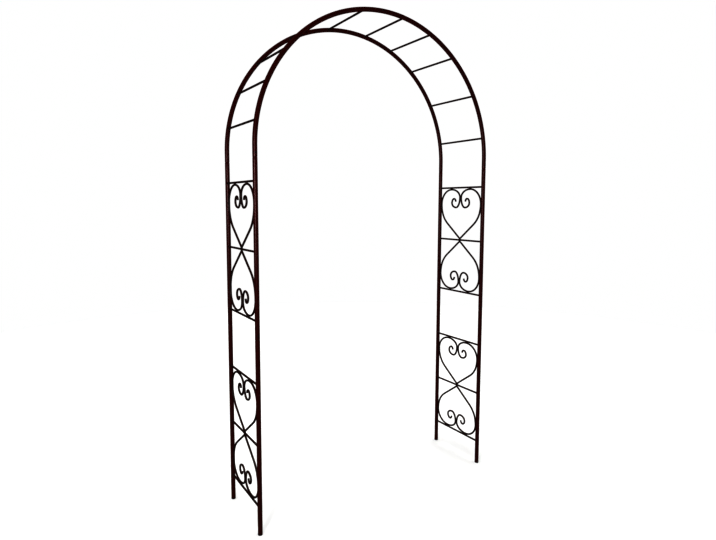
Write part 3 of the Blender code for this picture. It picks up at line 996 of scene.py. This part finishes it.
screws = []
for plane_name, plane in PLANES.items():
    seats = {f"apex_{plane_name}": apex_spot}
    for side_name, side in SIDES.items():
        for joint, height in (("leg", leg_screw_height), ("arch", arch_screw_height)):
            seats[f"{joint}_{plane_name}_{side_name}"] = Vector((side * HALF_SPAN, 0, height))
    for seat, spot in seats.items():
        piece = add_piece(f"pan_head_screw_{seat}", screw, black_zinc, f"screw_{seat}")
        piece.location = spot + plane * ACROSS * (DEPTH / 2 + TUBE_RADIUS + JOINT_GAP)
        facing_out = Matrix.Rotation(math.radians(-90 * plane), 4, "X")
        driven_to = Matrix.Rotation(welder.uniform(0, math.tau), 4, "Z")
        piece.rotation_euler = (facing_out @ driven_to).to_euler()
        screws.append(piece)
print(len(screws), "screws in their joints")

# %% [markdown]
# ## The foot plugs
#
# A plastic plug closes the open end of each leg, keeps water and soil out, and takes the
# scratches instead of the coat. It has a flat rounded foot as wide as the tube and a stem
# with three soft barbs that grip the bore. It is a turned shape, so its rings are circles.

# %% Profile of a foot plug
SOLE_SHARES = (0.3, 0.6)  # of the foot's radius: rings under it
FOOT_ROUNDING = 0.0015
FOOT_STEPS = 6
FOOT_BEVEL = 0.0004  # where the foot meets the tube
STEM_CLEARANCE = 0.0008
STEM_RADIUS = BORE_RADIUS - STEM_CLEARANCE
STEM_LENGTH = 0.014
STEM_BEVEL = 0.001
STEM_CORE = 0.4  # of the stem's radius: the ring on its top
BARB_RADIUS = BORE_RADIUS - JOINT_GAP
BARB_STARTS = (0.0025, 0.0060, 0.0095)  # up the stem
BARB_PROFILE = ((0.0, STEM_RADIUS), (0.0005, BARB_RADIUS), (0.0011, BARB_RADIUS), (0.0022, STEM_RADIUS))

profile = [(TUBE_RADIUS * share, 0.0) for share in SOLE_SHARES]
for turn in evenly(0, math.radians(90), FOOT_STEPS):
    radius = TUBE_RADIUS - FOOT_ROUNDING + FOOT_ROUNDING * math.sin(turn)
    profile.append((radius, FOOT_ROUNDING - FOOT_ROUNDING * math.cos(turn)))
profile += [(TUBE_RADIUS, FOOT_HEIGHT - FOOT_BEVEL), (TUBE_RADIUS - FOOT_BEVEL, FOOT_HEIGHT)]
profile.append((STEM_RADIUS, FOOT_HEIGHT))
for start in BARB_STARTS:
    profile += [(radius, FOOT_HEIGHT + start + rise) for rise, radius in BARB_PROFILE]
stem_top = FOOT_HEIGHT + STEM_LENGTH
profile += [(STEM_RADIUS, stem_top - STEM_BEVEL), (STEM_RADIUS - STEM_BEVEL, stem_top)]
profile.append((STEM_RADIUS * STEM_CORE, stem_top))
print("A plug's profile has", len(profile), "corners and is", round(stem_top * 1000), "mm high")

# %% Foot plugs
PLUG_SIDES = 48

plug = mesh_over("foot_plug", [[turned_ring(radius, height, PLUG_SIDES) for radius, height in profile]])
for plane_name, plane in PLANES.items():
    for side_name, side in SIDES.items():
        node = f"foot_plug_{plane_name}_{side_name}"
        piece = add_piece(f"moulded_{node}", plug, moulded_plastic, node)
        piece.location = (side * HALF_SPAN, plane * DEPTH / 2, 0)
print("Foot plugs with", len(plug.polygons), "faces each")

# %% [markdown]
# ## The floor
#
# The picture shows the arch cut out on white, so the floor here is a pale sheet of studio
# paper, with a faint cloudiness from its fibres. It is a wide disc with a few rings, so that
# its edge lies far outside the picture from every side.

# %% Studio paper
PAPER_FIBRE = 0.004  # fibres gather in clouds a few millimetres wide

paper, tree, metres = new_finish("matt_studio_paper")
fibre = add_node(tree, "ShaderNodeTexNoise", {"Vector": metres, "Scale": 1 / PAPER_FIBRE, "Detail": 2.0})
tone = add_node(tree, "ShaderNodeMix", {
    "Factor": fibre.outputs["Fac"], "A": linear("#f4f4f3"), "B": linear("#f8f8f7"),
}, data_type="RGBA")
surface = add_node(tree, "ShaderNodeBsdfPrincipled", {
    "Base Color": tone.outputs["Result"], "Roughness": 0.9, "Specular IOR Level": 0.2,
})
add_node(tree, "ShaderNodeOutputMaterial", {"Surface": surface.outputs["BSDF"]})
print("Finish", paper.name, "with", len(tree.nodes), "nodes")

# %% Floor
FLOOR_RADII = (0.5, 2.0, 4.0, 5.5)
FLOOR_SIDES = 96

floor_shape = bmesh.new()
rows = []
for radius in FLOOR_RADII:
    rows.append([floor_shape.verts.new(point) for point in turned_ring(radius, 0, FLOOR_SIDES)])
floor_shape.faces.new(rows[0])
for near, far in zip(rows, rows[1:]):
    join_rings(floor_shape, far, near)
floor_mesh = bpy.data.meshes.new("studio_floor")
floor_shape.to_mesh(floor_mesh)
floor_shape.free()
floor_mesh.materials.append(paper)
floor = put_in_scene("studio_floor", floor_mesh)
floor.visible_glossy = False
print("The floor is", FLOOR_RADII[-1] * 2, "m across")

# %% [markdown]
# ## Air and light
#
# The air behind the arch is white too. A dark, shiny coat in an all white room would turn
# grey, because it mirrors the room. So the coat sees much less light than the camera does:
# the air that lights the arch is dim, and the broad light that keeps the floor white is left
# out of reflections, like the floor itself. What the coat does mirror is four soft panels.
# One is near the camera and puts the streak on the nearest tube, and the tall ones at the
# sides and behind give the tubes' edges their quiet shine.

# %% Air
SEEN_AIR = 1.0
LIGHTING_AIR = 0.03

air = bpy.data.worlds.new("studio_air")
air.use_nodes = True
tree = air.node_tree
tree.nodes.clear()
white = (1.0, 1.0, 1.0, 1.0)
seen = add_node(tree, "ShaderNodeBackground", {"Color": white, "Strength": SEEN_AIR})
lighting = add_node(tree, "ShaderNodeBackground", {"Color": white, "Strength": LIGHTING_AIR})
path = add_node(tree, "ShaderNodeLightPath")
mixed = add_node(tree, "ShaderNodeMixShader", {
    0: path.outputs["Is Camera Ray"], 1: lighting.outputs["Background"], 2: seen.outputs["Background"],
})
add_node(tree, "ShaderNodeOutputWorld", {"Surface": mixed.outputs["Shader"]})
bpy.context.scene.world = air
print("The air lights the arch with", LIGHTING_AIR, "of what the camera sees")

# %% Lights
FLOOR_LIGHT = 3.7  # watts on a square metre
FLOOR_LIGHT_SPREAD = math.radians(80)
AIM_AT = Vector((0, 0, 1.2))
LIGHT_PANELS = {
    # name: (place, width and height in metres, watts)
    "soft_box": ((-2.2, -1.9, 1.66), (0.32, 0.75), 26.0),
    "left_panel": ((-4.2, -2.6, 1.9), (0.7, 3.2), 5.0),
    "right_panel": ((3.6, -3.4, 1.9), (0.5, 3.2), 8.0),
    "rear_panel": ((0.8, 5.0, 2.4), (1.5, 3.0), 12.0),
}

floor_light_data = bpy.data.lights.new("floor_light", "SUN")
floor_light_data.energy = FLOOR_LIGHT
floor_light_data.angle = FLOOR_LIGHT_SPREAD
floor_light = put_in_scene("floor_light", floor_light_data)
floor_light.visible_glossy = False
for name, (place, size, watts) in LIGHT_PANELS.items():
    panel_data = bpy.data.lights.new(name, "AREA")
    panel_data.shape = "RECTANGLE"
    panel_data.size, panel_data.size_y = size
    panel_data.energy = watts
    light_panel = put_in_scene(name, panel_data)
    light_panel.location = place
    light_panel.rotation_euler = (AIM_AT - Vector(place)).to_track_quat("-Z", "Y").to_euler()
print("Light panels", ", ".join(LIGHT_PANELS))

# %% [markdown]
# ## The picture's tones
#
# The view's gamma is below 1, which makes darks darker and leaves white as it is. The
# picture seems to have been made smaller after it was taken, in a way that kept thin dark
# bars bold, and this gives the thin rods the same weight here.

# %% Tones
PICTURE_GAMMA = 0.65

bpy.context.scene.view_settings.view_transform = "Standard"
bpy.context.scene.view_settings.gamma = PICTURE_GAMMA
print("The view's gamma is", PICTURE_GAMMA)
